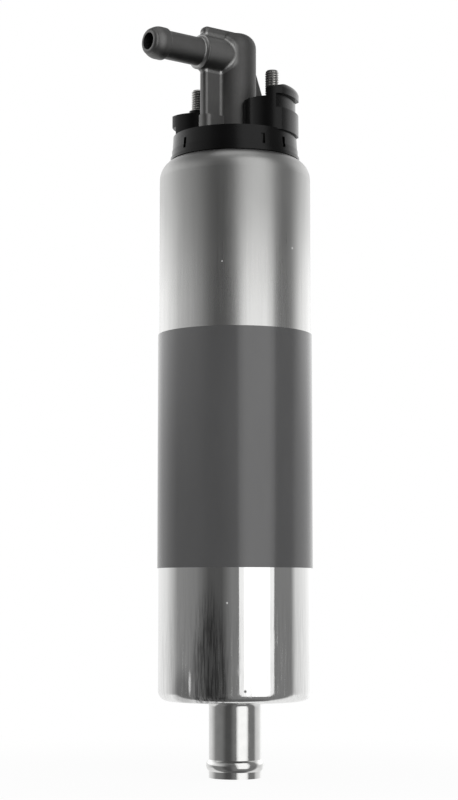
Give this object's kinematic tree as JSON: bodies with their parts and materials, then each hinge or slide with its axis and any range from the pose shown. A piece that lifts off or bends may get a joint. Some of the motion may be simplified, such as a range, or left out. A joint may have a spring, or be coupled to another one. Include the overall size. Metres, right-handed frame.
{
  "type": "fuel pump",
  "caption": "Round in-line electric fuel pump: steel body, dark sleeve, hose stub at the foot, and a black end cover with studs and a barbed outlet elbow.",
  "frame": {"origin": "centre of the inlet stub's mouth, on the pump's axis", "axes": "+Z along the pump's axis from the inlet to the outlet end; the outlet nozzle points along -X"},
  "size_m": [0.0525, 0.0436, 0.2117],
  "materials": {
    "body_steel": "satin rolled steel, fine lengthwise grain",
    "sleeve": "dark grey, half gloss",
    "stub_steel": "bright turned steel",
    "cast_metal": "satin casting",
    "cover_black": "black moulding",
    "stud_steel": "zinc-plated thread",
    "seal_rubber": "black rubber",
    "pressed_steel": "pressed sheet",
    "stage_iron": "ground faces",
    "rotor_steel": "sintered steel",
    "screw_steel": "plain steel",
    "seat_brass": "turned brass",
    "bush_bronze": "sintered bronze",
    "spring_steel": "spring wire",
    "shaft_steel": "ground steel",
    "core_iron": "stacked sheet iron",
    "winding_copper": "enamelled copper",
    "contact_copper": "copper",
    "moulded_resin": "moulded resin",
    "holder_plastic": "moulding",
    "carbon": "carbon",
    "ferrite": "ferrite",
    "choke_copper": "wound copper on ferrite"
  },
  "bodies": {
    "housing": {"shell": "body_steel", "body_sleeve": "sleeve", "inlet_cover": "stub_steel", "outlet_elbow": "cast_metal", "end_cover": "cover_black", "terminal_stud_plus": "stud_steel", "terminal_stud_minus": "stud_steel", "inlet_seal": "seal_rubber", "end_seal": "seal_rubber", "elbow_seal": "seal_rubber", "stud_seals": "seal_rubber", "inlet_strainer": "pressed_steel", "pump_inlet_plate": "stage_iron", "gear_housing": "stage_iron", "pump_outlet_plate": "stage_iron", "pump_screws": "screw_steel", "relief_plug": "seat_brass", "check_valve_seat": "seat_brass", "lower_bush": "bush_bronze", "upper_bush": "bush_bronze", "relief_spring": "spring_steel", "check_valve_spring": "spring_steel", "brush_spring_plus": "spring_steel", "brush_spring_minus": "spring_steel", "magnet_clips": "spring_steel", "flux_tube": "core_iron", "contact_plate_plus": "contact_copper", "contact_plate_minus": "contact_copper", "brush_holder": "holder_plastic", "magnet_first": "ferrite", "magnet_second": "ferrite", "choke_plus": "choke_copper", "choke_minus": "choke_copper"},
    "armature": {"armature_shaft": "shaft_steel", "lamination_stack": "core_iron", "armature_windings": "winding_copper", "commutator_hub": "moulded_resin", "commutator": "contact_copper", "drive_coupling": "moulded_resin", "thrust_washer": "bush_bronze", "inner_rotor": "rotor_steel"},
    "outer_rotor": {"outer_rotor": "rotor_steel"},
    "relief_ball": {"relief_ball": "pressed_steel"},
    "check_valve_poppet": {"check_valve_poppet": "seat_brass"},
    "brush_plus": {"brush_plus": "carbon"},
    "brush_minus": {"brush_minus": "carbon"}
  },
  "joints": [
    {"name": "armature_spin", "type": "hinge", "parent": "housing", "child": "armature", "pos_m": [0, 0, 0], "axis": [0, 0, 1], "continuous": true},
    {"name": "outer_rotor_spin", "type": "hinge", "parent": "housing", "child": "outer_rotor", "pos_m": [0.0011, 0, 0], "axis": [0, 0, 1], "continuous": true},
    {"name": "check_valve_lift", "type": "slide", "parent": "housing", "child": "check_valve_poppet", "axis": [0, 0, 1], "range_m": [0, 0.002], "stiffness_N_per_m": 60, "springref_m": -0.004, "deforming": ["check_valve_spring"]},
    {"name": "relief_valve_lift", "type": "slide", "parent": "housing", "child": "relief_ball", "axis": [0, 0, -1], "range_m": [0, 0.0012], "stiffness_N_per_m": 250, "springref_m": -0.003, "deforming": ["relief_spring"]},
    {"name": "brush_plus_slide", "type": "slide", "parent": "housing", "child": "brush_plus", "axis": [0, 0, 1], "range_m": [0, 0.002], "stiffness_N_per_m": 120, "springref_m": -0.004, "deforming": ["brush_spring_plus"]},
    {"name": "brush_minus_slide", "type": "slide", "parent": "housing", "child": "brush_minus", "axis": [0, 0, 1], "range_m": [0, 0.002], "stiffness_N_per_m": 120, "springref_m": -0.004, "deforming": ["brush_spring_minus"]}
  ],
  "couplings": [
    {"joint": "outer_rotor_spin", "follows": "armature_spin", "ratio": 0.85714}
  ]
}
